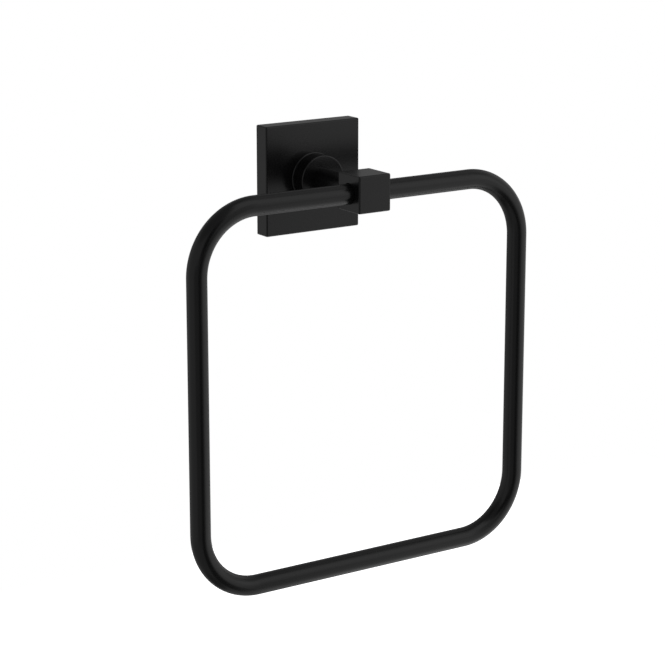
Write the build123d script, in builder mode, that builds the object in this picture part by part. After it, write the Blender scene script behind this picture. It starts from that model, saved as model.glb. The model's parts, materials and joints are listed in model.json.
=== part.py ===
from build123d import *
import os

# Square towel ring: a hollow wall plate, a post with a cube head, and a bent rod that hangs in its bore.
# Lengths are in millimetres. The wall is the plane y = 0, and "out" is the distance from it along -Y.
# The origin is the middle of the plate's back, +X is to the right and +Z is up.

# Cover plate: a square shell, open at the back
plate_side = 50.4
plate_depth = 8.1
plate_front = 2.4
plate_wall = 2.2
plate_edge = 0.7
cavity_corner = 1.5

# Post: turned base and neck, with a cube head
base_diameter = 22.5
base_length = 8.3
flange_step = 0.5
flange_length = 0.9
rim_edge = 0.3
neck_diameter = 10.9
neck_length = 24.6
head_side = 16.8
head_edge = 0.5

# Square spigot that keeps the post from turning in the plate
spigot_side = 8.0
spigot_clearance = 0.1
spigot_short = 0.4

# Ring: one round rod bent to a square, with its two ends meeting in the head
rod_diameter = 9.1
ring_side = 172.0
ring_bend = 28.8
rod_end_gap = 0.6

# Bore of the head, a little under its middle, in which the rod hangs loose
bore_drop = 0.35
bore_clearance = 0.15
hang_gap = 0.05

# Screw and washers that clamp the post to the plate from behind
post_screw_diameter = 5.0
post_screw_length = 16.0
post_screw_head = 9.5
post_screw_head_height = 2.7
post_screw_head_edge = 0.8
post_screw_socket = 3.0
post_screw_socket_depth = 1.5
screw_tip_edge = 0.5
thread_clearance = 0.05
tapped_spare = 1.5
flat_washer_diameter = 14.0
flat_washer_thickness = 1.0
lock_washer_diameter = 9.2
lock_washer_thickness = 1.2
lock_washer_slit = 1.0
washer_clearance = 0.2

# Wall bracket: folded sheet inside the cover plate
bracket_sheet = 1.5
bracket_bend = 1.0
bracket_corner = 1.2
bracket_side_clearance = 1.8
tongue_margin = 2.0
foot_width = 20.0
foot_clearance = 0.5
window_clearance = 3.0
wall_hole_diameter = 5.0
wall_hole_spacing = 30.0

# Hook: a lip inside the top of the plate drops behind the bracket's slanted tongue
lip_width = 22.0
lip_height = 2.6
lip_depth = 3.0
lip_back = 0.4
lip_seat = 2.1
tongue_clearance = 0.75
hook_gap = 0.05

# Locking screw: a grub screw through the bottom wall, with its point in the bracket's foot
lock_diameter = 4.0
lock_front_clearance = 0.25
lock_inset = 0.4
lock_socket = 2.0
lock_socket_depth = 2.5
lock_point = 0.8
lock_point_hole = 2.0
lock_point_gap = 0.05
pad_width = 9.0
pad_height = 1.6
foot_room = 2.0

# Places that follow from these sizes
plate_half = plate_side / 2
cavity_half = plate_half - plate_wall
cavity_depth = plate_depth - plate_front
base_front = plate_depth + base_length
head_back = base_front + neck_length
head_middle = head_back + head_side / 2
bore_radius = rod_diameter / 2 + bore_clearance
rod_drop = bore_drop + bore_clearance - hang_gap
ring_half = ring_side / 2
spigot_hole = spigot_side + 2 * spigot_clearance
spigot_end = cavity_depth + spigot_short
washer_seat = cavity_depth - flat_washer_thickness
screw_seat = washer_seat - lock_washer_thickness
screw_back = screw_seat - post_screw_head_height
screw_end = screw_seat + post_screw_length
washer_hole = post_screw_diameter + 2 * washer_clearance
lip_bottom = cavity_half - lip_height
hook_run = hook_gap * 2**0.5
tongue_root = lip_bottom - lip_seat - hook_run
tongue_reach = cavity_depth - tongue_clearance - bracket_sheet / 2**0.5
tongue_width = lip_width + 2 * tongue_margin
fold_radius = bracket_bend + bracket_sheet
bracket_width = 2 * (cavity_half - bracket_side_clearance)
foot_level = cavity_half - pad_height - foot_room
foot_reach = cavity_depth - foot_clearance
sheet_top = tongue_root - fold_radius
sheet_bottom = fold_radius + bracket_corner - foot_level
lock_out = cavity_depth - lock_front_clearance - lock_diameter / 2
lock_taper = (lock_diameter - lock_point) / 2
lock_tip = foot_level - lock_point_hole / 2 + lock_point_gap + lock_point / 2
lock_end = plate_half - lock_inset

os.makedirs("parts", exist_ok=True)

# Cover plate
with BuildPart() as cover_plate:
    with BuildSketch(Plane.XZ):
        Rectangle(plate_side, plate_side)
    extrude(amount=plate_depth)
    front_rim = cover_plate.faces().sort_by(Axis.Y)[0].edges()
    fillet(front_rim + cover_plate.edges().filter_by(Axis.Y), radius=plate_edge)

    # Hollow back
    with BuildSketch(Plane.XZ):
        RectangleRounded(2 * cavity_half, 2 * cavity_half, cavity_corner)
    extrude(amount=cavity_depth, mode=Mode.SUBTRACT)

    # Lip inside the top wall, with a slanted seat for the bracket's tongue
    with BuildSketch(Plane.YZ):
        with BuildLine():
            Polyline(
                (-lip_back, cavity_half + plate_wall / 2),
                (-lip_back, lip_bottom),
                (-lip_seat, lip_bottom),
                (-lip_depth, lip_bottom + lip_depth - lip_seat),
                (-lip_depth, cavity_half + plate_wall / 2),
                close=True,
            )
        make_face()
    extrude(amount=lip_width / 2, both=True)

    # Pad inside the bottom wall, tapped for the locking screw
    with BuildSketch(Plane.XY.offset(-cavity_half - plate_wall / 2)):
        Rectangle(pad_width, cavity_depth + plate_front / 2, align=(Align.CENTER, Align.MAX))
    extrude(amount=plate_wall / 2 + pad_height)
    with BuildSketch(Plane.XY.offset(-plate_half)):
        with Locations((0, -lock_out)):
            Circle(lock_diameter / 2 + thread_clearance)
    extrude(amount=plate_wall + pad_height, mode=Mode.SUBTRACT)

    # Square hole for the post's spigot
    with BuildSketch(Plane.XZ.offset(cavity_depth)):
        Rectangle(spigot_hole, spigot_hole)
    extrude(amount=plate_front, mode=Mode.SUBTRACT)
cover_plate.part.label = "cover_plate"
export_step(cover_plate.part, "parts/cover_plate.step")

# Post
with BuildPart() as post:
    # Half section of the flange, base and neck, drawn as radius against distance out
    with BuildSketch(Plane((0, 0, 0), x_dir=(1, 0, 0), z_dir=(0, 0, -1))):
        with BuildLine():
            Polyline(
                (0, plate_depth),
                (base_diameter / 2 + flange_step, plate_depth),
                (base_diameter / 2 + flange_step, plate_depth + flange_length),
                (base_diameter / 2, plate_depth + flange_length),
                (base_diameter / 2, base_front),
                (neck_diameter / 2, base_front),
                (neck_diameter / 2, head_back),
                (0, head_back),
                close=True,
            )
        make_face()
    revolve(axis=Axis.Y)
    circles_by_size = post.edges().filter_by(GeomType.CIRCLE).group_by(SortBy.RADIUS)
    flange_rim = circles_by_size[-1].sort_by(Axis.Y)[0]
    base_rim = circles_by_size[-2].sort_by(Axis.Y)[0]
    chamfer((flange_rim, base_rim), length=rim_edge)

    # Cube head
    with BuildSketch(Plane.XZ.offset(head_back)):
        Rectangle(head_side, head_side)
    extrude(amount=head_side)
    chamfer(post.edges(Select.LAST).filter_by(GeomType.LINE), length=head_edge)

    # Cross bore for the rod
    with BuildSketch(Plane.YZ):
        with Locations((-head_middle, -bore_drop)):
            Circle(bore_radius)
    extrude(amount=head_side, both=True, mode=Mode.SUBTRACT)

    # Square spigot, with a tapped hole up into the neck
    with BuildSketch(Plane.XZ.offset(spigot_end)):
        Rectangle(spigot_side, spigot_side)
    extrude(amount=plate_depth - spigot_end)
    with BuildSketch(Plane.XZ.offset(spigot_end)):
        Circle(post_screw_diameter / 2 + thread_clearance)
    extrude(amount=screw_end + tapped_spare - spigot_end, mode=Mode.SUBTRACT)
post.part.label = "post"
export_step(post.part, "parts/post.step")

# Ring
with BuildPart() as ring:
    with BuildLine(Plane.XZ.offset(head_middle)) as rod_path:
        FilletPolyline(
            (rod_end_gap / 2, -rod_drop),
            (ring_half, -rod_drop),
            (ring_half, -rod_drop - ring_side),
            (-ring_half, -rod_drop - ring_side),
            (-ring_half, -rod_drop),
            (-rod_end_gap / 2, -rod_drop),
            radius=ring_bend,
        )
    with BuildSketch(Plane(rod_path.line @ 0, z_dir=rod_path.line % 0)):
        Circle(rod_diameter / 2)
    sweep()
ring.part.label = "ring"
export_step(ring.part, "parts/ring.step")

# Wall bracket
with BuildPart() as wall_bracket:
    # Side view of the sheet: foot at the bottom, back against the wall, slanted tongue at the top
    with BuildSketch(Plane.YZ):
        with BuildLine():
            FilletPolyline(
                (-foot_reach, -foot_level),
                (0, -foot_level),
                (0, tongue_root),
                (-tongue_reach, tongue_root + tongue_reach),
                radius=fold_radius,
            )
            offset(amount=bracket_sheet, side=Side.LEFT)
        make_face()
    extrude(amount=bracket_width / 2, both=True)

    # Front view of the blank: the tongue and the foot are narrower than the sheet between them
    with BuildSketch(Plane.XZ):
        with Locations((0, sheet_bottom)):
            Rectangle(bracket_width, sheet_top - sheet_bottom, align=(Align.CENTER, Align.MIN))
        Rectangle(tongue_width, tongue_root + tongue_reach, align=(Align.CENTER, Align.MIN))
        Rectangle(foot_width, foot_level, align=(Align.CENTER, Align.MAX))
        blank_corners = vertices().filter_by(lambda corner: corner.Y > -foot_level)
        fillet(blank_corners, radius=bracket_corner)
    extrude(amount=plate_depth, mode=Mode.INTERSECT)
    foot_corners = wall_bracket.edges().filter_by(Axis.Z).group_by(Axis.Y)[0]
    fillet(foot_corners, radius=bracket_corner)

    # Window round the post's screw, and two holes for the wall screws
    with BuildSketch(Plane.XZ):
        Circle(post_screw_head / 2 + window_clearance)
        with GridLocations(wall_hole_spacing, 0, 2, 1):
            Circle(wall_hole_diameter / 2)
    extrude(amount=bracket_sheet, mode=Mode.SUBTRACT)

    # Seat for the locking screw's point
    with BuildSketch(Plane.XY.offset(-foot_level)):
        with Locations((0, -lock_out)):
            Circle(lock_point_hole / 2)
    extrude(amount=fold_radius, mode=Mode.SUBTRACT)
wall_bracket.part.label = "wall_bracket"
export_step(wall_bracket.part, "parts/wall_bracket.step")

# Screw that draws the post's spigot into the plate
with BuildPart() as post_screw:
    with BuildSketch(Plane.XZ.offset(screw_seat)):
        Circle(post_screw_diameter / 2)
    extrude(amount=post_screw_length)
    chamfer(post_screw.faces().sort_by(Axis.Y)[0].edges(), length=screw_tip_edge)
    with BuildSketch(Plane.XZ.offset(screw_back)):
        Circle(post_screw_head / 2)
    extrude(amount=post_screw_head_height)
    chamfer(post_screw.faces().sort_by(Axis.Y)[-1].edges(), length=post_screw_head_edge)
    with BuildSketch(Plane.XZ.offset(screw_back)):
        RegularPolygon(post_screw_socket / 2, 6, major_radius=False)
    extrude(amount=post_screw_socket_depth, mode=Mode.SUBTRACT)
post_screw.part.label = "post_screw"
export_step(post_screw.part, "parts/post_screw.step")

# Flat washer that covers the square hole
with BuildPart() as flat_washer:
    with BuildSketch(Plane.XZ.offset(washer_seat)):
        Circle(flat_washer_diameter / 2)
        Circle(washer_hole / 2, mode=Mode.SUBTRACT)
    extrude(amount=flat_washer_thickness)
flat_washer.part.label = "flat_washer"
export_step(flat_washer.part, "parts/flat_washer.step")

# Split lock washer, pressed flat under the screw's head
with BuildPart() as lock_washer:
    with BuildSketch(Plane.XZ.offset(screw_seat)):
        Circle(lock_washer_diameter / 2)
        Circle(washer_hole / 2, mode=Mode.SUBTRACT)
        Rectangle(lock_washer_slit, lock_washer_diameter, align=(Align.CENTER, Align.MIN), mode=Mode.SUBTRACT)
    extrude(amount=lock_washer_thickness)
lock_washer.part.label = "lock_washer"
export_step(lock_washer.part, "parts/lock_washer.step")

# Locking screw
with BuildPart() as locking_screw:
    with BuildSketch(Plane.XY.offset(-lock_end)):
        with Locations((0, -lock_out)):
            Circle(lock_diameter / 2)
    extrude(amount=lock_end - lock_tip)
    chamfer(locking_screw.faces().sort_by(Axis.Z)[-1].edges(), length=lock_taper)
    with BuildSketch(Plane.XY.offset(-lock_end)):
        with Locations((0, -lock_out)):
            RegularPolygon(lock_socket / 2, 6, major_radius=False)
    extrude(amount=lock_socket_depth, mode=Mode.SUBTRACT)
locking_screw.part.label = "locking_screw"
export_step(locking_screw.part, "parts/locking_screw.step")
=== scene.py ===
"""Square towel ring in satin black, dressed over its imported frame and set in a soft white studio."""
import json
import logging
import math
from abc import ABC, abstractmethod
from dataclasses import dataclass, field
from enum import Enum
from typing import Sequence

import bmesh
import bpy
from mathutils import Matrix, Vector


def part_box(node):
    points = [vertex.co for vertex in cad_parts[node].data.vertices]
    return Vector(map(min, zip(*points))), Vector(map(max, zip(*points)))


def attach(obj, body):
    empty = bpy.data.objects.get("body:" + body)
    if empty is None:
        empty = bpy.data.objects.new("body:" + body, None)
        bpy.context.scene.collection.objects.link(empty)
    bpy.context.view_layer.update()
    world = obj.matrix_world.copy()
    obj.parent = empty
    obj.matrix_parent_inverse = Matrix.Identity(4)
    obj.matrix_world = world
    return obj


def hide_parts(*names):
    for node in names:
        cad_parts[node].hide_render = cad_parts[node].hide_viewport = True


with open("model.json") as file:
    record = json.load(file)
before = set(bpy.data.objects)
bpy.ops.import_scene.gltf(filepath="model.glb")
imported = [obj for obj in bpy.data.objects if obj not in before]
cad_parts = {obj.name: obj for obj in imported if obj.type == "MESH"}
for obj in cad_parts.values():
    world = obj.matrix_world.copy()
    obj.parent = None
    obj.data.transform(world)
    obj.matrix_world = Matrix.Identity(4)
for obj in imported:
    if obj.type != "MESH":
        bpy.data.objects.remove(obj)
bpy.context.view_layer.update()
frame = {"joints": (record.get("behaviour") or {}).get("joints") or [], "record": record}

log = logging.getLogger("towel_ring")

# Metres in a millimetre
MILLIMETRE = 0.001
# How far a tool reaches past the face that it cuts, or a joined solid into the other, in millimetres
OVERREACH = 1.0
# Points nearer than these are one point, in a skin being made and in a finished solid, in millimetres
WELD_DISTANCE = 1e-5
SLIVER_WIDTH = 2e-3
# Edges sharper than these, in radians, are shaded as edges and get a burr's rounding
SHARP_ANGLE = math.radians(32)
BURR_ANGLE = math.radians(50)
FULL_TURN = 2 * math.pi
QUARTER_TURN = FULL_TURN / 4
FULL_CIRCLE_DEGREES = 360.0
WHITE = (1.0, 1.0, 1.0, 1.0)

# Across and up
Point2 = tuple[float, float]
# Across, up and radius
Corner = tuple[float, float, float]
# The azimuth where a wall of the light tent begins, in degrees, and its brightness
Wall = tuple[float, float]


class Body(Enum):
    """The CAD bodies that pieces ride on."""

    FIXTURE = "wall_fixture"
    RING = "hanging_ring"


class Slot(Enum):
    """The record's material slots."""

    BLACK = "satin_black"
    ZINC = "zinc_plated_steel"
    OXIDE = "blackened_steel"


class View(Enum):
    """Where a flat outline is seen from, as the axes of its width, its height and its depth."""

    FRONT = (0, 2, 1)
    SIDE = (1, 2, 0)
    TOP = (0, 1, 2)

    def place(self, width: float, height: float, depth: float) -> Vector:
        """Finds a point of the part's frame.

        Args:
            width: Measure along the view's width.
            height: Measure along its height.
            depth: Measure along its depth.

        Returns:
            The point at these three measures.
        """
        point = Vector((0.0, 0.0, 0.0))
        for axis, value in zip(self.value, (width, height, depth)):
            point[axis] = value
        return point


class Combine(Enum):
    """How two solids are combined."""

    JOIN = "UNION"
    CUT = "DIFFERENCE"
    KEEP = "INTERSECT"


@dataclass(frozen=True)
class Extent:
    """A CAD node's box at rest, in millimetres."""

    low: Vector
    high: Vector

    @classmethod
    def of(cls, node: str) -> "Extent":
        """Reads a node's box.

        Args:
            node: The node's name.

        Returns:
            Its box, in millimetres.
        """
        low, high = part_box(node)
        return cls(low / MILLIMETRE, high / MILLIMETRE)

    @property
    def size(self) -> Vector:
        """Width, depth and height."""
        return self.high - self.low

    @property
    def middle(self) -> Vector:
        """The box's centre."""
        return (self.low + self.high) / 2


def rounded(corners: Sequence[Corner], steps: int = 6) -> list[Point2]:
    """Rounds the corners of a closed outline.

    Args:
        corners: Each corner's two coordinates and its radius, which is 0 where it stays sharp.
        steps: Straight pieces in each rounding.

    Returns:
        The points of the rounded outline, in order.
    """
    outline: list[Point2] = []
    for index, (across, up, radius) in enumerate(corners):
        here = Vector((across, up))
        if radius <= 0:
            outline.append((across, up))
            continue
        before = (Vector(corners[index - 1][:2]) - here).normalized()
        after = (Vector(corners[(index + 1) % len(corners)][:2]) - here).normalized()
        half = before.angle(after) / 2
        middle = here + (before + after).normalized() * (radius / math.sin(half))
        start = here + before * (radius / math.tan(half)) - middle
        finish = here + after * (radius / math.tan(half)) - middle
        first = math.atan2(start.y, start.x)
        turn = (math.atan2(finish.y, finish.x) - first + math.pi) % FULL_TURN - math.pi
        for step in range(steps + 1):
            angle = first + turn * step / steps
            outline.append((middle.x + radius * math.cos(angle), middle.y + radius * math.sin(angle)))
    return outline


def rectangle(low: Point2, high: Point2, radius: float = 0.0) -> list[Corner]:
    """Lists the corners of an upright rectangle.

    Args:
        low: Its lower left corner.
        high: Its upper right corner.
        radius: The radius that all four corners get.

    Returns:
        The four corners, in order.
    """
    (left, bottom), (right, top) = low, high
    return [(left, bottom, radius), (right, bottom, radius), (right, top, radius), (left, top, radius)]


def square(half: float, radius: float = 0.0) -> list[Corner]:
    """The corners of a square about the origin."""
    return rectangle((-half, -half), (half, half), radius)


def circle(centre: Point2, radius: float, points: int = 64) -> list[Point2]:
    """Sets points evenly round a circle.

    Args:
        centre: The circle's middle.
        radius: Its radius.
        points: How many points it gets.

    Returns:
        The points, in order.
    """
    angles = [FULL_TURN * index / points for index in range(points)]
    return [(centre[0] + radius * math.cos(a), centre[1] + radius * math.sin(a)) for a in angles]


def hexagon(across_flats: float, centre: Point2 = (0.0, 0.0)) -> list[Point2]:
    """The corners of a hexagon with that width across its flats."""
    return circle(centre, across_flats / math.sqrt(3), 6)


@dataclass(frozen=True)
class Thread:
    """A right-hand screw thread that fades out at both ends. Lengths are in millimetres."""

    radius: float
    pitch: float
    start: float
    end: float
    view: View
    centre: Point2 = (0.0, 0.0)
    height_share: float = 0.61
    crest: float = 0.125
    root: float = 0.75
    points_a_turn: int = 12

    @property
    def depth(self) -> float:
        """Height of the ridge over its root."""
        return self.height_share * self.pitch

    def levels(self) -> list[float]:
        """Lists the depths along the thread at which its radius is worked out.

        Returns:
            The depths, from the thread's start to its end.
        """
        count = round(abs(self.end - self.start) / self.pitch * self.points_a_turn)
        return [self.start + (self.end - self.start) * index / count for index in range(count + 1)]

    def radius_at(self, level: float, angle: float) -> float:
        """Works out the shank's radius at one place.

        Args:
            level: Depth along the thread.
            angle: Angle round its axis, in radians.

        Returns:
            The radius there.
        """
        turn = -1 if self.view is View.FRONT else 1
        phase = (level / self.pitch - turn * angle / FULL_TURN) % 1.0
        away = abs(phase - 0.5) * 2
        ridge = min(max((self.root - away) / (self.root - self.crest), 0.0), 1.0)
        fade = min(abs(level - self.start), abs(level - self.end)) / self.pitch
        return self.radius - self.depth * (1 - ridge * min(fade, 1.0))


class Solid:
    """A closed mesh being made, in millimetres in the part's own frame."""

    def __init__(self, mesh: bpy.types.Mesh) -> None:
        """Keeps the mesh as the solid's present form."""
        self.mesh = mesh

    @classmethod
    def lofted(cls, loops: Sequence[Sequence[Vector]], around: bool = False,
               wrap: bool = True) -> "Solid":
        """Skins a row of point loops of equal length.

        Args:
            loops: The loops, each with as many points as the others.
            around: Whether the last loop joins the first. Otherwise the two end loops are capped.
            wrap: Whether each loop's last point joins its first.

        Returns:
            The skinned solid.
        """
        shape = bmesh.new()
        rows = [[shape.verts.new(point) for point in loop] for loop in loops]
        columns = len(rows[0])
        for row in range(len(rows) if around else len(rows) - 1):
            here, there = rows[row], rows[(row + 1) % len(rows)]
            for column in range(columns if wrap else columns - 1):
                beside = (column + 1) % columns
                shape.faces.new((here[column], here[beside], there[beside], there[column]))
        if not around:
            shape.faces.new(rows[0])
            shape.faces.new(rows[-1])
        bmesh.ops.remove_doubles(shape, verts=shape.verts, dist=WELD_DISTANCE)
        return cls.closed(shape)

    @classmethod
    def closed(cls, shape: bmesh.types.BMesh) -> "Solid":
        """Turns a finished bmesh into a solid.

        Args:
            shape: The bmesh, which is freed.

        Returns:
            The solid, with its faces looking outwards.
        """
        bmesh.ops.recalc_face_normals(shape, faces=shape.faces)
        mesh = bpy.data.meshes.new("solid")
        shape.to_mesh(mesh)
        shape.free()
        return cls(mesh)

    @classmethod
    def prism(cls, outline: Sequence[Point2], view: View, start: float, end: float) -> "Solid":
        """Draws a flat outline out between two depths along the view's own axis."""
        return cls.lofted([[view.place(u, v, depth) for u, v in outline] for depth in (start, end)])

    @classmethod
    def turned(cls, profile: Sequence[Point2], view: View, centre: Point2, ring: bool = False,
               segments: int = 96) -> "Solid":
        """Turns a profile about an axis that runs along the view's depth.

        Args:
            profile: Radius and depth of each point. Its ends lie on the axis, unless it is a ring's.
            view: The view whose depth is the axis.
            centre: Where the axis stands in that view.
            ring: Whether the profile is the closed section of a ring.
            segments: Flats round the turning.

        Returns:
            The turned solid.
        """
        loops = []
        for index in range(segments):
            angle = FULL_TURN * index / segments
            across, up = math.cos(angle), math.sin(angle)
            loops.append([view.place(centre[0] + r * across, centre[1] + r * up, depth)
                          for r, depth in profile])
        return cls.lofted(loops, around=True, wrap=ring)

    @classmethod
    def threaded(cls, thread: Thread, lead: Sequence[Point2], tip: Sequence[Point2],
                 segments: int = 48) -> "Solid":
        """A threaded shank.

        Args:
            thread: Its thread.
            lead: Radius and depth of the points before the thread's start, from the axis.
            tip: Radius and depth of the points past the thread's end, up to the axis.
            segments: Flats round the shank.

        Returns:
            The shank, closed at both ends.
        """
        across, up = thread.centre
        loops = []
        for index in range(segments):
            angle = FULL_TURN * index / segments
            ridges = [(thread.radius_at(level, angle), level) for level in thread.levels()]
            profile = [*lead, *ridges, *tip]
            right, rise = math.cos(angle), math.sin(angle)
            loops.append([thread.view.place(across + r * right, up + r * rise, level)
                          for r, level in profile])
        return cls.lofted(loops, around=True, wrap=False)

    @classmethod
    def block(cls, low: Vector, high: Vector, radius: float, sharp_back: bool = False,
              segments: int = 5) -> "Solid":
        """A box with rounded edges.

        Args:
            low: Lowest corner.
            high: Highest corner.
            radius: Radius of the edges.
            sharp_back: Whether the edges round the face towards the wall stay sharp.
            segments: Flats in each rounding.

        Returns:
            The rounded box.
        """
        shape = bmesh.new()
        size, middle = high - low, (low + high) / 2
        form = Matrix.Translation(middle) @ Matrix.Diagonal((*size, 1.0))
        bmesh.ops.create_cube(shape, size=1.0, matrix=form)
        back = {edge for edge in shape.edges if all(vertex.co.y > middle.y for vertex in edge.verts)}
        edges = [edge for edge in shape.edges if not (sharp_back and edge in back)]
        bmesh.ops.bevel(shape, geom=edges, offset=radius, segments=segments, profile=0.5, affect="EDGES",
                        clamp_overlap=True)
        return cls.closed(shape)

    def combined(self, other: "Solid", how: Combine) -> "Solid":
        """Combines this solid with another one.

        Args:
            other: The other solid, which is used up.
            how: How they are combined.

        Returns:
            This solid.
        """
        first, second = (bpy.data.objects.new("work", solid.mesh) for solid in (self, other))
        for piece in (first, second):
            bpy.context.scene.collection.objects.link(piece)
        modifier = first.modifiers.new("combine", "BOOLEAN")
        modifier.object, modifier.operation, modifier.solver = second, how.value, "EXACT"
        evaluated = first.evaluated_get(bpy.context.evaluated_depsgraph_get())
        result = bpy.data.meshes.new_from_object(evaluated)
        for piece in (first, second):
            bpy.data.objects.remove(piece)
        for used in (self.mesh, other.mesh):
            bpy.data.meshes.remove(used)
        self.mesh = result
        return self

    def join(self, other: "Solid") -> "Solid":
        """Adds another solid to this one."""
        return self.combined(other, Combine.JOIN)

    def cut(self, other: "Solid") -> "Solid":
        """Takes another solid away from this one."""
        return self.combined(other, Combine.CUT)

    def keep(self, other: "Solid") -> "Solid":
        """Keeps only what this solid and another one share."""
        return self.combined(other, Combine.KEEP)

    def piece(self, name: str, burr: float = 0.0, burr_steps: int = 2) -> bpy.types.Object:
        """Makes the scene's object of this solid, in metres.

        Args:
            name: The object's name.
            burr: Width of a small rounding on every sharp edge, or 0 for none.
            burr_steps: Flats in that rounding.

        Returns:
            The object, linked to the scene and shaded smooth between its sharp edges.
        """
        shape = bmesh.new()
        shape.from_mesh(self.mesh)
        bmesh.ops.remove_doubles(shape, verts=shape.verts, dist=SLIVER_WIDTH)
        shape.to_mesh(self.mesh)
        shape.free()
        self.mesh.transform(Matrix.Scale(MILLIMETRE, 4))
        self.mesh.name = name
        self.mesh.shade_smooth()
        self.mesh.set_sharp_from_angle(angle=SHARP_ANGLE)
        made = bpy.data.objects.new(name, self.mesh)
        bpy.context.scene.collection.objects.link(made)
        if burr > 0:
            rounding = made.modifiers.new("rounding", "BEVEL")
            rounding.width, rounding.segments = burr * MILLIMETRE, burr_steps
            rounding.limit_method, rounding.angle_limit = "ANGLE", BURR_ANGLE
        normals = made.modifiers.new("normals", "WEIGHTED_NORMAL")
        normals.keep_sharp = burr <= 0
        log.info("%s: %d faces", name, len(self.mesh.polygons))
        return made


class Graph:
    """Adds nodes to one node tree and links them."""

    def __init__(self, tree: bpy.types.NodeTree) -> None:
        """Starts on a tree with no nodes in it."""
        self.tree = tree
        tree.nodes.clear()

    def add(self, kind: str, **settings: object) -> bpy.types.Node:
        """Adds a node.

        Args:
            kind: The node's type.
            settings: Its own properties by name.

        Returns:
            The node.
        """
        node = self.tree.nodes.new(kind)
        for name, value in settings.items():
            setattr(node, name, value)
        return node

    def link(self, source: bpy.types.NodeSocket, target: bpy.types.NodeSocket) -> None:
        """Links an output to an input."""
        self.tree.links.new(source, target)

    def math(self, operation: str, first: object, second: object) -> bpy.types.NodeSocket:
        """Adds a Math node whose inputs are numbers or other nodes' outputs.

        Args:
            operation: The node's operation, such as ADD.
            first: Its first input.
            second: Its second input.

        Returns:
            The node's output.
        """
        node = self.add("ShaderNodeMath", operation=operation)
        for socket, value in zip(node.inputs, (first, second)):
            if isinstance(value, bpy.types.NodeSocket):
                self.link(value, socket)
            else:
                socket.default_value = value
        return node.outputs[0]


class Group(ABC):
    """A shader node group that several finishes share, built once."""

    name: str
    inputs: Sequence[str]
    outputs: Sequence[str]

    @classmethod
    def tree(cls) -> bpy.types.NodeTree:
        """Gives the group's tree, which is built when it is first asked for.

        Returns:
            The tree.
        """
        found = bpy.data.node_groups.get(cls.name)
        if found is not None:
            return found
        tree = bpy.data.node_groups.new(cls.name, "ShaderNodeTree")
        graph = Graph(tree)
        for names, side in ((cls.inputs, "INPUT"), (cls.outputs, "OUTPUT")):
            for name in names:
                tree.interface.new_socket(name, in_out=side, socket_type="NodeSocketFloat")
        entry, leave = graph.add("NodeGroupInput"), graph.add("NodeGroupOutput")
        cls.fill(graph, entry, leave)
        return tree

    @classmethod
    @abstractmethod
    def fill(cls, graph: Graph, entry: bpy.types.Node, leave: bpy.types.Node) -> None:
        """Builds the inside of the group.

        Args:
            graph: The group's graph.
            entry: Its input node.
            leave: Its output node.
        """

    @classmethod
    def put(cls, graph: Graph, **values: float) -> bpy.types.Node:
        """Places the group in a material, with its own input values.

        Args:
            graph: The material's graph.
            values: Input values by name, with underscores for spaces.

        Returns:
            The group node.
        """
        node = graph.add("ShaderNodeGroup", node_tree=cls.tree())
        for name, value in values.items():
            node.inputs[name.replace("_", " ")].default_value = value
        return node


class CoatGrain(Group):
    """Fine relief of a sprayed or plated skin, with slow mottling over it. Sizes are in millimetres."""

    name = "coat_grain"
    inputs = ("grain size", "mottle size")
    outputs = ("relief", "mottle")
    relief_detail = 2.0
    mottle_detail = 3.0

    @classmethod
    def fill(cls, graph: Graph, entry: bpy.types.Node, leave: bpy.types.Node) -> None:
        """Builds two noises at the two sizes.

        Args:
            graph: The group's graph.
            entry: Its input node.
            leave: Its output node.
        """
        place = graph.add("ShaderNodeTexCoord")
        for size, detail, out in (("grain size", cls.relief_detail, "relief"),
                                  ("mottle size", cls.mottle_detail, "mottle")):
            noise = graph.add("ShaderNodeTexNoise")
            noise.inputs["Detail"].default_value = detail
            graph.link(place.outputs["Object"], noise.inputs["Vector"])
            graph.link(graph.math("DIVIDE", 1 / MILLIMETRE, entry.outputs[size]), noise.inputs["Scale"])
            graph.link(noise.outputs["Fac"], leave.inputs[out])


class DrawnLines(Group):
    """Fine lines that rolling or turning leaves along one axis. Sizes are in millimetres."""

    name = "drawn_lines"
    inputs = ("line width", "line length")
    outputs = ("lines",)
    detail = 3.0

    @classmethod
    def fill(cls, graph: Graph, entry: bpy.types.Node, leave: bpy.types.Node) -> None:
        """Builds a noise that is drawn out along the height.

        Args:
            graph: The group's graph.
            entry: Its input node.
            leave: Its output node.
        """
        place = graph.add("ShaderNodeTexCoord")
        split, stretched = graph.add("ShaderNodeSeparateXYZ"), graph.add("ShaderNodeCombineXYZ")
        graph.link(place.outputs["Object"], split.inputs[0])
        for axis, size in (("X", "line width"), ("Y", "line width"), ("Z", "line length")):
            fine = graph.math("DIVIDE", split.outputs[axis], entry.outputs[size])
            graph.link(graph.math("DIVIDE", fine, MILLIMETRE), stretched.inputs[axis])
        noise = graph.add("ShaderNodeTexNoise")
        noise.inputs["Scale"].default_value = 1.0
        noise.inputs["Detail"].default_value = cls.detail
        graph.link(stretched.outputs[0], noise.inputs["Vector"])
        graph.link(noise.outputs["Fac"], leave.inputs["lines"])


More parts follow.
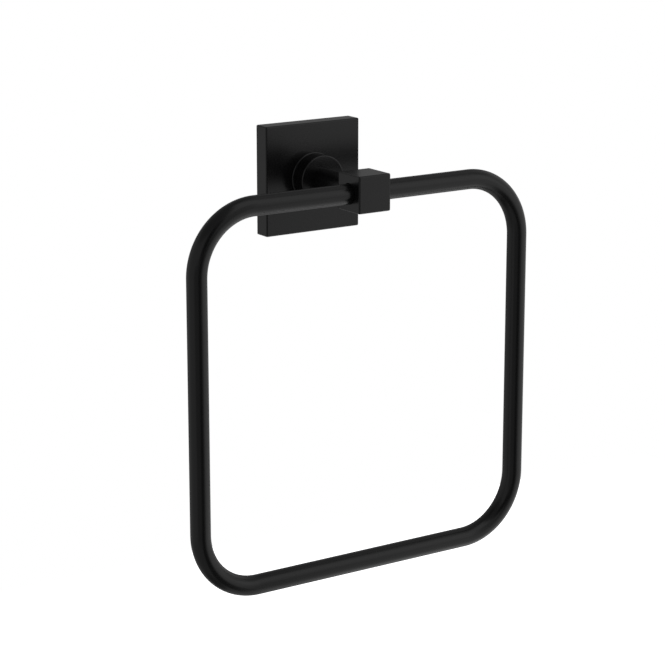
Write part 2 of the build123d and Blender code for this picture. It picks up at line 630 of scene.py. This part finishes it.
@dataclass(frozen=True)
class Finish(ABC):
    """A procedural finish, with how far its colour and roughness vary. Lengths are in millimetres."""

    name: str
    slot: Slot
    dark: tuple[float, float, float]
    light: tuple[float, float, float]
    roughness: float
    roughness_spread: float
    grain_size: float
    grain_height: float
    mottle_size: float

    def material(self) -> bpy.types.Material:
        """Gives the finish's material, which is built when it is first asked for.

        Returns:
            The material.
        """
        found = bpy.data.materials.get(self.name)
        if found is not None:
            return found
        material = bpy.data.materials.new(self.name)
        material.use_nodes = True
        graph = Graph(material.node_tree)
        shader, output = graph.add("ShaderNodeBsdfPrincipled"), graph.add("ShaderNodeOutputMaterial")
        graph.link(shader.outputs["BSDF"], output.inputs["Surface"])
        self.wire(graph, shader)
        return material

    @abstractmethod
    def wire(self, graph: Graph, shader: bpy.types.Node) -> None:
        """Feeds the shader.

        Args:
            graph: The material's graph.
            shader: Its Principled BSDF.
        """

    def feed(self, graph: Graph, shader: bpy.types.Node, mask: bpy.types.NodeSocket,
             height: bpy.types.NodeSocket) -> None:
        """Feeds the colour and roughness from a mask, and the normal from a height.

        Args:
            graph: The material's graph.
            shader: Its Principled BSDF.
            mask: A value from 0 to 1 over the surface.
            height: The relief, from 0 to 1.
        """
        colour = graph.add("ShaderNodeMix", data_type="RGBA")
        colour.inputs["A"].default_value = (*self.dark, 1.0)
        colour.inputs["B"].default_value = (*self.light, 1.0)
        graph.link(mask, colour.inputs["Factor"])
        graph.link(colour.outputs["Result"], shader.inputs["Base Color"])
        sheen = graph.add("ShaderNodeMapRange")
        sheen.inputs["To Min"].default_value = self.roughness - self.roughness_spread
        sheen.inputs["To Max"].default_value = self.roughness + self.roughness_spread
        graph.link(mask, sheen.inputs["Value"])
        graph.link(sheen.outputs["Result"], shader.inputs["Roughness"])
        bump = graph.add("ShaderNodeBump")
        bump.inputs["Distance"].default_value = self.grain_height * MILLIMETRE
        graph.link(height, bump.inputs["Height"])
        graph.link(bump.outputs["Normal"], shader.inputs["Normal"])

    def dress(self, piece: bpy.types.Object, body: Body, *nodes: str) -> None:
        """Gives a piece this finish, its body and the CAD nodes that it stands for.

        Args:
            piece: The piece.
            body: The body that it rides on.
            nodes: The CAD nodes that it replaces.
        """
        piece.data.materials.clear()
        piece.data.materials.append(self.material())
        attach(piece, body.value)
        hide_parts(*nodes)
        log.info("%s rides on %s in %s", piece.name, body.value, self.name)


@dataclass(frozen=True)
class SatinCoat(Finish):
    """A satin paint film over metal: dark, soft in its reflections and very finely rippled."""

    specular: float = 0.5

    def wire(self, graph: Graph, shader: bpy.types.Node) -> None:
        """Feeds the shader as a paint film with no metal showing.

        Args:
            graph: The material's graph.
            shader: Its Principled BSDF.
        """
        shader.inputs["Specular IOR Level"].default_value = self.specular
        grain = CoatGrain.put(graph, grain_size=self.grain_size, mottle_size=self.mottle_size)
        self.feed(graph, shader, grain.outputs["mottle"], grain.outputs["relief"])


@dataclass(frozen=True)
class PlatedSteel(Finish):
    """Plated or blackened steel with the lines of its rolling or turning under the skin."""

    line_width: float = 0.12
    line_length: float = 9.0
    contrast: tuple[float, float] = (0.32, 0.68)

    def wire(self, graph: Graph, shader: bpy.types.Node) -> None:
        """Feeds the shader as metal whose mottling is half the skin's own and half the lines.

        Args:
            graph: The material's graph.
            shader: Its Principled BSDF.
        """
        shader.inputs["Metallic"].default_value = 1.0
        grain = CoatGrain.put(graph, grain_size=self.grain_size, mottle_size=self.mottle_size)
        lines = DrawnLines.put(graph, line_width=self.line_width, line_length=self.line_length)
        both = graph.math("ADD", grain.outputs["mottle"], lines.outputs["lines"])
        relief = graph.math("ADD", grain.outputs["relief"], lines.outputs["lines"])
        spread = graph.add("ShaderNodeMapRange")
        spread.inputs["From Min"].default_value, spread.inputs["From Max"].default_value = self.contrast
        graph.link(graph.math("MULTIPLY", both, 0.5), spread.inputs["Value"])
        self.feed(graph, shader, spread.outputs["Result"], relief)


SATIN_BLACK = SatinCoat(
    name="satin_black_coat", slot=Slot.BLACK,
    dark=(0.0012, 0.0012, 0.0013), light=(0.0018, 0.0018, 0.0019),
    roughness=0.25, roughness_spread=0.02, grain_size=0.35, grain_height=0.0015, mottle_size=14.0,
)
ROLLED_ZINC = PlatedSteel(
    name="rolled_zinc_plate", slot=Slot.ZINC, dark=(0.62, 0.65, 0.69), light=(0.84, 0.85, 0.84),
    roughness=0.34, roughness_spread=0.08, grain_size=0.25, grain_height=0.003, mottle_size=5.0,
    line_width=0.3, line_length=18.0,
)
TURNED_ZINC = PlatedSteel(
    name="turned_zinc_plate", slot=Slot.ZINC, dark=(0.66, 0.69, 0.73), light=(0.84, 0.85, 0.84),
    roughness=0.30, roughness_spread=0.06, grain_size=0.2, grain_height=0.002, mottle_size=2.5,
    line_width=0.4, line_length=0.4,
)
BLACK_OXIDE = PlatedSteel(
    name="black_oxide", slot=Slot.OXIDE, dark=(0.04, 0.04, 0.043), light=(0.09, 0.09, 0.095),
    roughness=0.42, roughness_spread=0.10, grain_size=0.2, grain_height=0.003, mottle_size=1.5,
    line_length=1.0,
)


@dataclass
class WallPlate:
    """The square cover plate: a shell that hides the bracket. Lengths are in millimetres."""

    box: Extent = field(default_factory=lambda: Extent.of("cover_plate"))
    screw: Extent = field(default_factory=lambda: Extent.of("locking_screw"))
    edge: float = 0.7
    front: float = 2.4
    wall: float = 2.2
    cavity_corner: float = 1.5
    lip_half: float = 11.0
    lip_back: float = 0.4
    lip_seat: float = 2.1
    lip_depth: float = 3.0
    lip_height: float = 2.6
    pad_half: float = 4.5
    pad_height: float = 1.6
    spigot_hole: float = 8.2
    screw_clearance: float = 0.05

    @property
    def half(self) -> float:
        """Half the plate's side."""
        return self.box.size.x / 2

    @property
    def cavity_half(self) -> float:
        """Half the side of the hollow back."""
        return self.half - self.wall

    @property
    def cavity_depth(self) -> float:
        """Depth of the hollow back."""
        return self.box.size.y - self.front

    @property
    def pad_top(self) -> float:
        """Height of the pad's upper face."""
        return self.pad_height - self.cavity_half

    def lip(self) -> Solid:
        """Makes the lip in the top wall, with a slanted seat for the bracket's tongue.

        Returns:
            The lip, which reaches into the wall above it.
        """
        bottom = self.cavity_half - self.lip_height
        top = self.cavity_half + self.wall / 2
        rise = self.lip_depth - self.lip_seat
        outline = [(-self.lip_back, top), (-self.lip_back, bottom), (-self.lip_seat, bottom),
                   (-self.lip_depth, bottom + rise), (-self.lip_depth, top)]
        return Solid.prism(outline, View.SIDE, -self.lip_half, self.lip_half)

    def pad(self) -> Solid:
        """Makes the pad in the bottom wall that the locking screw is tapped into.

        Returns:
            The pad, which reaches into the bottom wall and the front.
        """
        reach = self.cavity_depth + self.front / 2
        outline = rounded(rectangle((-self.pad_half, -reach), (self.pad_half, 0.0)))
        return Solid.prism(outline, View.TOP, -self.cavity_half - self.wall / 2, self.pad_top)

    def shell(self) -> Solid:
        """Makes the whole plate.

        Returns:
            The plate as one solid.
        """
        plate = Solid.block(self.box.low, self.box.high, self.edge, sharp_back=True)
        hollow = rounded(square(self.cavity_half, self.cavity_corner))
        plate.cut(Solid.prism(hollow, View.FRONT, OVERREACH, -self.cavity_depth))
        plate.join(self.lip())
        plate.join(self.pad())
        screw = self.screw
        tapped = circle((screw.middle.x, screw.middle.y), screw.size.x / 2 + self.screw_clearance)
        plate.cut(Solid.prism(tapped, View.TOP, -self.half - OVERREACH, self.pad_top + OVERREACH))
        hole = rounded(square(self.spigot_hole / 2))
        inside, outside = OVERREACH - self.cavity_depth, -self.box.size.y - OVERREACH
        return plate.cut(Solid.prism(hole, View.FRONT, inside, outside))

    def build(self) -> None:
        """Makes and dresses the plate."""
        SATIN_BLACK.dress(self.shell().piece("plate_shell"), Body.FIXTURE, "cover_plate")


@dataclass
class Post:
    """The turned post with its cube head and cross bore. Lengths are in millimetres."""

    box: Extent = field(default_factory=lambda: Extent.of("post"))
    plate: Extent = field(default_factory=lambda: Extent.of("cover_plate"))
    rod: Extent = field(default_factory=lambda: Extent.of("ring"))
    screw: Extent = field(default_factory=lambda: Extent.of("post_screw"))
    base_length: float = 8.3
    flange_step: float = 0.5
    flange_length: float = 0.9
    rim: float = 0.55
    neck_half: float = 5.45
    head_side: float = 16.8
    head_edge: float = 0.7
    bore_drop: float = 0.35
    bore_clearance: float = 0.15
    bore_edge: float = 0.15
    spigot_half: float = 4.0
    spigot_corner: float = 0.2
    tapped_half: float = 2.55
    tapped_spare: float = 1.5
    flats_round: int = 160
    rim_steps: int = 5
    spigot_steps: int = 2

    def turning(self) -> Solid:
        """Turns the flange, base and neck about the post's axis.

        Returns:
            The turning, whose neck reaches into the head.
        """
        flange = self.box.size.x / 2
        base = flange - self.flange_step
        back = self.plate.size.y
        front = back + self.base_length
        step = back + self.flange_length
        neck_end = -self.box.low.y - self.head_side + OVERREACH
        profile = [(0.0, back, 0.0), (flange, back, 0.0), (flange, step, self.rim), (base, step, 0.0),
                   (base, front, self.rim), (self.neck_half, front, 0.0), (self.neck_half, neck_end, 0.0),
                   (0.0, neck_end, 0.0)]
        points = [(radius, -out) for radius, out in rounded(profile, self.rim_steps)]
        return Solid.turned(points, View.FRONT, (0.0, 0.0), segments=self.flats_round)

    def bore(self) -> Solid:
        """Makes the tool that cuts the cross bore.

        Returns:
            The tool, flared at both ends so that the bore's edges are rounded.
        """
        half, flare = self.head_side / 2, self.bore_edge
        radius, outside = self.rod.size.y / 2 + self.bore_clearance, -half - OVERREACH
        quarter = [QUARTER_TURN * step / self.rim_steps for step in range(self.rim_steps + 1)]
        mouth = [(radius + flare * (1 - math.sin(a)), flare * (1 - math.cos(a)) - half) for a in quarter]
        profile = [(0.0, outside), (radius + flare, outside), *mouth]
        profile += [(r, -across) for r, across in reversed(profile)]
        return Solid.turned(profile, View.SIDE, (self.box.low.y + half, -self.bore_drop))

    def whole(self) -> Solid:
        """Makes the whole post.

        Returns:
            The post as one solid.
        """
        half, front = self.head_side / 2, self.box.low.y
        low, high = Vector((-half, front, -half)), Vector((half, front + self.head_side, half))
        post = Solid.block(low, high, self.head_edge).join(self.turning()).cut(self.bore())
        spigot = rounded(square(self.spigot_half, self.spigot_corner), self.spigot_steps)
        post.join(Solid.prism(spigot, View.FRONT, self.box.high.y, -self.plate.size.y - OVERREACH))
        tapped_end = self.screw.low.y - self.tapped_spare
        return post.cut(Solid.prism(circle((0.0, 0.0), self.tapped_half), View.FRONT, 0.0, tapped_end))

    def build(self) -> None:
        """Makes and dresses the post."""
        SATIN_BLACK.dress(self.whole().piece("post_turning"), Body.FIXTURE, "post")


@dataclass
class HangingRing:
    """The bent rod. Lengths are in millimetres."""

    box: Extent = field(default_factory=lambda: Extent.of("ring"))
    bend: float = 28.8
    end_gap: float = 0.6
    bend_steps: int = 40
    points_round: int = 72

    @property
    def rod_half(self) -> float:
        """The rod's radius, from the axis that the ring swings about up to its top."""
        return self.box.high.z - self.swing_axis.z

    @property
    def swing_axis(self) -> Vector:
        """A point on the axis that the ring swings about, which is the middle of its top run."""
        swing = next(joint for joint in frame["joints"] if joint["name"] == "ring_swing")
        return Vector(swing["pos_m"]) / MILLIMETRE

    def middle_line(self) -> list[Vector]:
        """Follows the rod's middle.

        Returns:
            Places along it, from one end round to the other.
        """
        half = self.box.size.x / 2 - self.rod_half
        top, bottom = self.swing_axis.z, self.box.low.z + self.rod_half
        inset, upper, lower = half - self.bend, top - self.bend, bottom + self.bend
        places = [(self.end_gap / 2, top)]
        bends = ((inset, upper), (inset, lower), (-inset, lower), (-inset, upper))
        for number, (across, up) in enumerate(bends):
            for step in range(self.bend_steps + 1):
                angle = QUARTER_TURN * (1 - number - step / self.bend_steps)
                places.append((across + self.bend * math.cos(angle), up + self.bend * math.sin(angle)))
        places.append((-self.end_gap / 2, top))
        return [Vector((across, self.swing_axis.y, up)) for across, up in places]

    def build(self) -> None:
        """Makes and dresses the ring."""
        line, loops = self.middle_line(), []
        outwards = Vector((0.0, 1.0, 0.0))
        for index, place in enumerate(line):
            heading = line[min(index + 1, len(line) - 1)] - line[max(index - 1, 0)]
            inwards = heading.normalized().cross(outwards)
            section = circle((0.0, 0.0), self.rod_half, self.points_round)
            loops.append([place + inwards * u + outwards * v for u, v in section])
        SATIN_BLACK.dress(Solid.lofted(loops).piece("ring_rod"), Body.RING, "ring")


@dataclass
class HiddenFixing:
    """Bracket, screws and washers behind the plate. Lengths are in millimetres, angles in radians."""

    plate: WallPlate
    bracket: Extent = field(default_factory=lambda: Extent.of("wall_bracket"))
    screw: Extent = field(default_factory=lambda: Extent.of("post_screw"))
    flat: Extent = field(default_factory=lambda: Extent.of("flat_washer"))
    spring: Extent = field(default_factory=lambda: Extent.of("lock_washer"))
    grub: Extent = field(default_factory=lambda: Extent.of("locking_screw"))
    sheet: float = 1.5
    bend: float = 1.0
    corner: float = 1.2
    burr: float = 0.15
    tongue_clearance: float = 0.75
    tongue_half: float = 13.0
    foot_half: float = 10.0
    window: float = 7.75
    point_hole: float = 1.0
    screw_thread: float = 2.5
    screw_pitch: float = 0.8
    screw_neck: float = 0.5
    head_height: float = 2.7
    head_edge: float = 0.8
    head_seat_edge: float = 0.1
    screw_key: float = 3.0
    screw_key_depth: float = 1.5
    washer_hole: float = 2.7
    washer_edge: float = 0.15
    slit: float = 1.0
    slit_slant: float = 0.35
    grub_pitch: float = 0.7
    grub_point: float = 0.4
    grub_key: float = 2.0
    grub_key_depth: float = 2.5
    tongue_slant: float = QUARTER_TURN / 2
    fold_steps: int = 8
    corner_steps: int = 6
    washer_steps: int = 3
    hole_points: int = 96
    point_hole_points: int = 48

    @property
    def fold(self) -> float:
        """Outer radius of the bracket's folds."""
        return self.bend + self.sheet

    @property
    def tongue_reach(self) -> float:
        """How far the back of the tongue stands out from the wall."""
        return self.plate.cavity_depth - self.tongue_clearance - self.sheet * math.sin(self.tongue_slant)

    @property
    def tongue_root(self) -> float:
        """Height at which the tongue leaves the sheet."""
        return self.bracket.high.z - self.tongue_reach

    def side_view(self) -> list[Point2]:
        """Draws the folded sheet as seen from the side: foot, back and slanted tongue.

        Returns:
            The sheet's outline.
        """
        reach, bottom, top = self.bracket.low.y, self.bracket.low.z, self.bracket.high.z
        slant = self.sheet * math.sin(self.tongue_slant)
        inner_root = self.tongue_root - self.sheet * math.tan(self.tongue_slant / 2)
        return rounded([
            (reach, bottom, 0.0), (0.0, bottom, self.fold), (0.0, self.tongue_root, self.fold),
            (-self.tongue_reach, top, 0.0), (-self.tongue_reach - slant, top - slant, 0.0),
            (-self.sheet, inner_root, self.bend), (-self.sheet, bottom + self.sheet, self.bend),
            (reach, bottom + self.sheet, 0.0),
        ], self.fold_steps)

    def front_view(self) -> list[Point2]:
        """Draws what the sheet is stamped to: wide in the middle, narrower at the tongue and the foot.

        Returns:
            The stamped outline.
        """
        half, tongue, foot, radius = self.bracket.size.x / 2, self.tongue_half, self.foot_half, self.corner
        below, above = self.bracket.low.z - OVERREACH, self.bracket.high.z
        low = self.bracket.low.z + self.fold + radius
        high = self.tongue_root - self.fold
        right = [(foot, below, 0.0), (foot, low, radius), (half, low, radius), (half, high, radius),
                 (tongue, high, radius), (tongue, above, radius)]
        left = [(-across, up, rounding) for across, up, rounding in reversed(right)]
        return rounded(right + left)

    def foot_corner(self, side: int) -> Solid:
        """Makes the tool that rounds one corner of the foot's tip.

        Args:
            side: The corner on the left (-1) or on the right (1).

        Returns:
            The tool.
        """
        tip, edge, radius = self.bracket.low.y, self.foot_half, self.corner
        before, beside = tip - OVERREACH, edge + OVERREACH
        across, along = edge - radius, tip + radius
        arc = [QUARTER_TURN * step / self.corner_steps for step in range(self.corner_steps + 1)]
        outline = [(across + radius * math.cos(a), along - radius * math.sin(a)) for a in arc]
        outline += [(across, before), (beside, before), (beside, along)]
        return self.through_foot([(side * u, v) for u, v in outline])

    def through_foot(self, outline: Sequence[Point2]) -> Solid:
        """A tool of that outline that cuts through the foot from below."""
        bottom = self.bracket.low.z
        return Solid.prism(outline, View.TOP, bottom - OVERREACH, bottom + self.fold)

    def wall_sheet(self) -> Solid:
        """Makes the bracket.

        Returns:
            The bracket as one folded and stamped sheet.
        """
        beyond = self.bracket.size.x / 2 + OVERREACH
        sheet = Solid.prism(self.side_view(), View.SIDE, -beyond, beyond)
        sheet.keep(Solid.prism(self.front_view(), View.FRONT, OVERREACH, -self.plate.box.size.y))
        for side in (-1, 1):
            sheet.cut(self.foot_corner(side))
        mount = next(mount for mount in frame["record"]["mounts"] if mount["name"] == "wall_screws")
        spread, radius = mount["dims"]["spacing_x_mm"] / 2, mount["dims"]["hole_r_mm"]
        for across, size in ((0.0, self.window), (-spread, radius), (spread, radius)):
            hole = circle((across, 0.0), size, self.hole_points)
            sheet.cut(Solid.prism(hole, View.FRONT, OVERREACH, -self.sheet - OVERREACH))
        point = circle((0.0, self.grub.middle.y), self.point_hole, self.point_hole_points)
        return sheet.cut(self.through_foot(point))

    def post_screw(self) -> Solid:
        """Makes the pan-head screw that clamps the post.

        Returns:
            The screw, with its thread and hexagon socket.
        """
        back, end = self.screw.high.y, self.screw.low.y
        seat, radius = back - self.head_height, self.screw.size.x / 2
        thread = Thread(self.screw_thread, self.screw_pitch, seat - self.screw_neck, end, View.FRONT)
        inside, core = seat + self.screw_neck, thread.radius - thread.depth
        shank = Solid.threaded(thread, [(0.0, inside), (core, inside)], [(0.0, end)])
        crown = rounded([(0.0, seat, 0.0), (radius, seat, self.head_seat_edge),
                         (radius, back, self.head_edge), (0.0, back, 0.0)])
        head = Solid.turned(crown, View.FRONT, (0.0, 0.0))
        above, floor = back + OVERREACH, back - self.screw_key_depth
        return head.join(shank).cut(Solid.prism(hexagon(self.screw_key), View.FRONT, above, floor))

    def washer(self, box: Extent) -> Solid:
        """Makes a plain stamped ring.

        Args:
            box: The washer's box, which the ring fills.

        Returns:
            The ring.
        """
        inner, outer, edge = self.washer_hole, box.size.x / 2, self.washer_edge
        back, front = box.high.y, box.low.y
        section = [(inner, back, edge), (outer, back, edge), (outer, front, edge), (inner, front, edge)]
        return Solid.turned(rounded(section, self.washer_steps), View.FRONT, (0.0, 0.0), ring=True)

    def spring_washer(self) -> Solid:
        """Makes the split washer.

        Returns:
            The washer, with its slanted slit at the top.
        """
        box, half, slant = self.spring, self.slit / 2, self.slit_slant
        back, front = box.high.y + OVERREACH, box.low.y - OVERREACH
        outline = [(-half - slant, back), (half - slant, back),
                   (half + slant, front), (slant - half, front)]
        return self.washer(box).cut(Solid.prism(outline, View.TOP, 0.0, box.size.x))

    def grub_screw(self) -> Solid:
        """Makes the headless locking screw.

        Returns:
            The screw, with its thread, cone point and hexagon socket.
        """
        box = self.grub
        centre, radius = (box.middle.x, box.middle.y), box.size.x / 2
        shoulder = box.high.z - radius + self.grub_point
        thread = Thread(radius, self.grub_pitch, box.low.z, shoulder, View.TOP, centre)
        point = [(self.grub_point, box.high.z), (0.0, box.high.z)]
        screw = Solid.threaded(thread, [(0.0, box.low.z)], point)
        below, floor = box.low.z - OVERREACH, box.low.z + self.grub_key_depth
        return screw.cut(Solid.prism(hexagon(self.grub_key, centre), View.TOP, below, floor))

    def build(self) -> None:
        """Makes and dresses the hidden pieces."""
        bracket = self.wall_sheet().piece("bracket_sheet", self.burr)
        ROLLED_ZINC.dress(bracket, Body.FIXTURE, "wall_bracket")
        TURNED_ZINC.dress(self.post_screw().piece("clamp_screw"), Body.FIXTURE, "post_screw")
        TURNED_ZINC.dress(self.washer(self.flat).piece("plain_washer"), Body.FIXTURE, "flat_washer")
        TURNED_ZINC.dress(self.spring_washer().piece("spring_washer"), Body.FIXTURE, "lock_washer")
        BLACK_OXIDE.dress(self.grub_screw().piece("grub_screw"), Body.FIXTURE, "locking_screw")


def direction(azimuth: float, elevation: float) -> Vector:
    """Turns two angles into a direction.

    Args:
        azimuth: Degrees round the object, where 0 is straight out from the wall and 90 to the right.
        elevation: Degrees over the level.

    Returns:
        The direction, one long.
    """
    turn, rise = math.radians(azimuth), math.radians(elevation)
    return Vector((math.sin(turn) * math.cos(rise), -math.cos(turn) * math.cos(rise), math.sin(rise)))


def aimed(made: bpy.types.Object, away: Vector, distance: float, target: Vector) -> bpy.types.Object:
    """Links an object to the scene and sets it at a distance from a target, with its -Z axis towards it.

    Args:
        made: The object.
        away: Direction from the target to the object.
        distance: How far it stands away, in metres.
        target: The point that it looks at.

    Returns:
        The same object.
    """
    bpy.context.scene.collection.objects.link(made)
    made.location = target + away * distance
    made.rotation_euler = away.to_track_quat("Z", "Y").to_euler()
    return made


def sheet(name: str) -> bpy.types.Mesh:
    """Makes a flat square mesh.

    Args:
        name: The mesh's name.

    Returns:
        The mesh, one metre wide.
    """
    shape = bmesh.new()
    bmesh.ops.create_grid(shape, x_segments=1, y_segments=1, size=0.5)
    mesh = bpy.data.meshes.new(name)
    shape.to_mesh(mesh)
    shape.free()
    return mesh


@dataclass(frozen=True)
class Panel:
    """A panel of the light tent, which shows only in reflections.

    It reaches from left to right in azimuth and from bottom to top in elevation, in degrees.
    Lengths are in metres.
    """

    name: str
    left: float
    right: float
    bottom: float
    top: float
    brightness: float
    distance: float = 1.5
    step: float = 6.0

    def material(self) -> bpy.types.Material:
        """Makes the panel's material.

        Returns:
            A plain glow, which isn't used as a lamp.
        """
        material = bpy.data.materials.new(self.name)
        material.use_nodes = True
        material.cycles.emission_sampling = "NONE"
        graph = Graph(material.node_tree)
        glow, output = graph.add("ShaderNodeEmission"), graph.add("ShaderNodeOutputMaterial")
        glow.inputs["Strength"].default_value = self.brightness
        graph.link(glow.outputs["Emission"], output.inputs["Surface"])
        return material

    def build(self, target: Vector) -> None:
        """Hangs the panel round the target, as a piece of a sphere.

        Args:
            target: The sphere's middle.
        """
        width, height = self.right - self.left, self.top - self.bottom
        columns, rows = math.ceil(width / self.step), math.ceil(height / self.step)
        shape = bmesh.new()
        grid = []
        turns = [self.left + width * column / columns for column in range(columns + 1)]
        for row in range(rows + 1):
            rise = self.bottom + height * row / rows
            places = [target + direction(turn, rise) * self.distance for turn in turns]
            grid.append([shape.verts.new(place) for place in places])
        for below, above in zip(grid, grid[1:]):
            for column in range(columns):
                shape.faces.new((below[column], below[column + 1], above[column + 1], above[column]))
        mesh = bpy.data.meshes.new(self.name)
        shape.to_mesh(mesh)
        shape.free()
        panel = bpy.data.objects.new(self.name, mesh)
        bpy.context.scene.collection.objects.link(panel)
        panel.visible_camera = panel.visible_diffuse = panel.visible_transmission = False
        panel.visible_volume_scatter = panel.visible_shadow = False
        mesh.materials.append(self.material())


@dataclass(frozen=True)
class Band:
    """One height of the light tent, with its walls in a row round the object. Angles are in degrees."""

    name: str
    bottom: float
    top: float
    walls: Sequence[Wall]

    def build(self, target: Vector) -> None:
        """Hangs the walls, each of which reaches to where the next one begins.

        Args:
            target: The middle of the tent.
        """
        starts = [start for start, _ in self.walls]
        ends = [*starts[1:], starts[0] + FULL_CIRCLE_DEGREES]
        for number, ((left, brightness), right) in enumerate(zip(self.walls, ends), start=1):
            panel = Panel(f"{self.name}_wall_{number}", left, right, self.bottom, self.top, brightness)
            panel.build(target)


@dataclass(frozen=True)
class Lamp:
    """A large soft lamp. Angles are in degrees, lengths in metres and the power in watts."""

    name: str
    azimuth: float
    elevation: float
    side: float
    power: float
    distance: float = 2.0

    def build(self, target: Vector) -> None:
        """Sets the lamp so that it faces the target.

        Args:
            target: The point that it faces.
        """
        data = bpy.data.lights.new(self.name, "AREA")
        data.size, data.energy = self.side, self.power
        lamp = aimed(bpy.data.objects.new(self.name, data), direction(self.azimuth, self.elevation),
                     self.distance, target)
        lamp.visible_glossy = False


@dataclass
class Studio:
    """Camera, floor, world, lamps and light tent. Angles are in degrees, lengths in metres.

    The lens and the sensor are in millimetres, as cameras have them.
    """

    middle: Vector = field(default_factory=lambda: Vector((0.0, -0.05, -0.08)))
    camera_azimuth: float = -33.57
    camera_elevation: float = 14.24
    camera_distance: float = 1.0508
    aim: Vector = field(default_factory=lambda: Vector((0.01593, 0.0, -0.0771)))
    lens: float = 120.57
    sensor: float = 36.0
    floor_level: float = -1.0
    floor_side: float = 4.0
    floor_colour: tuple[float, float, float, float] = (0.8, 0.8, 0.8, 1.0)
    floor_lift: float = 0.3
    floor_fade: tuple[float, float] = (0.6, 1.6)
    fill: float = 0.5
    tent: Sequence[Band] = (
        Band("ground", -90.0, -62.0, ((0.0, 0.41), (180.0, 0.13))),
        Band("low", -62.0, -25.0, ((-15.0, 0.07), (30.0, 0.60), (60.0, 0.85), (120.0, 0.28))),
        Band("middle", -25.0, 5.0, ((-15.0, 0.07), (15.0, 0.33), (30.0, 0.65), (75.0, 0.55),
                                    (120.0, 0.16), (165.0, 0.22), (207.0, 0.37), (300.0, 0.21))),
        Band("high", 5.0, 35.0, ((-30.0, 0.04), (0.0, 0.39), (30.0, 0.77), (60.0, 0.48),
                                 (120.0, 0.22), (210.0, 0.35))),
        Band("ceiling", 35.0, 90.0, ((0.0, 0.67), (60.0, 0.32), (120.0, 0.18))),
    )
    lamps: Sequence[Lamp] = (
        Lamp("key_lamp", 45.0, 35.0, 1.4, 12.0),
        Lamp("fill_lamp", -50.0, 40.0, 1.4, 8.0),
    )

    def camera(self) -> None:
        """Sets the camera at the photograph's angle."""
        data = bpy.data.cameras.new("camera")
        data.lens, data.sensor_width = self.lens, self.sensor
        camera = bpy.data.objects.new("camera", data)
        away = direction(self.camera_azimuth, self.camera_elevation)
        aimed(camera, away, self.camera_distance, self.aim)
        bpy.context.scene.camera = camera

    @staticmethod
    def seen(graph: Graph) -> bpy.types.NodeSocket:
        """Tells which rays see the white surroundings.

        Args:
            graph: The graph of the world or the floor.

        Returns:
            A value of 1 for camera, glossy and transmission rays, and 0 for others.
        """
        path = graph.add("ShaderNodeLightPath")
        seen = graph.math("MAXIMUM", path.outputs["Is Camera Ray"], path.outputs["Is Glossy Ray"])
        return graph.math("MAXIMUM", seen, path.outputs["Is Transmission Ray"])

    def world(self) -> None:
        """White surroundings, with a lower plain fill for the light that they give."""
        world = bpy.data.worlds.new("studio")
        bpy.context.scene.world = world
        world.use_nodes = True
        world.cycles.sampling_method = "NONE"
        graph = Graph(world.node_tree)
        shader, output = graph.add("ShaderNodeBackground"), graph.add("ShaderNodeOutputWorld")
        strength = graph.math("MAXIMUM", self.seen(graph), self.fill)
        shader.inputs["Color"].default_value = WHITE
        graph.link(strength, shader.inputs["Strength"])
        graph.link(shader.outputs["Background"], output.inputs["Surface"])

    def floor(self) -> None:
        """A pale floor that looks white and still takes the object's shadow."""
        mesh = sheet("floor")
        floor = bpy.data.objects.new("floor", mesh)
        bpy.context.scene.collection.objects.link(floor)
        floor.location = (0.0, 0.0, self.floor_level)
        floor.visible_glossy = False
        floor.scale = (self.floor_side, self.floor_side, 1.0)
        material = bpy.data.materials.new("pale_floor")
        material.use_nodes = True
        graph = Graph(material.node_tree)
        shader, output = graph.add("ShaderNodeBsdfPrincipled"), graph.add("ShaderNodeOutputMaterial")
        shader.inputs["Base Color"].default_value = self.floor_colour
        shader.inputs["Roughness"].default_value = 1.0
        shader.inputs["Specular IOR Level"].default_value = 0.0
        shader.inputs["Emission Color"].default_value = WHITE
        place = graph.add("ShaderNodeTexCoord")
        length = graph.add("ShaderNodeVectorMath", operation="LENGTH")
        graph.link(place.outputs["Object"], length.inputs[0])
        fade = graph.add("ShaderNodeMapRange", interpolation_type="SMOOTHSTEP")
        fade.inputs["From Min"].default_value, fade.inputs["From Max"].default_value = (
            reach / self.floor_side for reach in self.floor_fade)
        fade.inputs["To Min"].default_value = self.floor_lift
        graph.link(length.outputs["Value"], fade.inputs["Value"])
        lift = graph.math("MULTIPLY", self.seen(graph), fade.outputs["Result"])
        graph.link(lift, shader.inputs["Emission Strength"])
        graph.link(shader.outputs["BSDF"], output.inputs["Surface"])
        mesh.materials.append(material)

    def build(self) -> None:
        """Sets up the whole studio."""
        bpy.context.scene.view_settings.view_transform = "Standard"
        self.camera()
        self.world()
        self.floor()
        for item in (*self.tent, *self.lamps):
            item.build(self.middle)


def main() -> None:
    """Builds and dresses the towel ring, and sets up its studio."""
    logging.basicConfig(level=logging.INFO, format="%(message)s")
    plate = WallPlate()
    for assembly in (plate, Post(), HangingRing(), HiddenFixing(plate)):
        assembly.build()
    Studio().build()


if __name__ == "__main__":
    main()
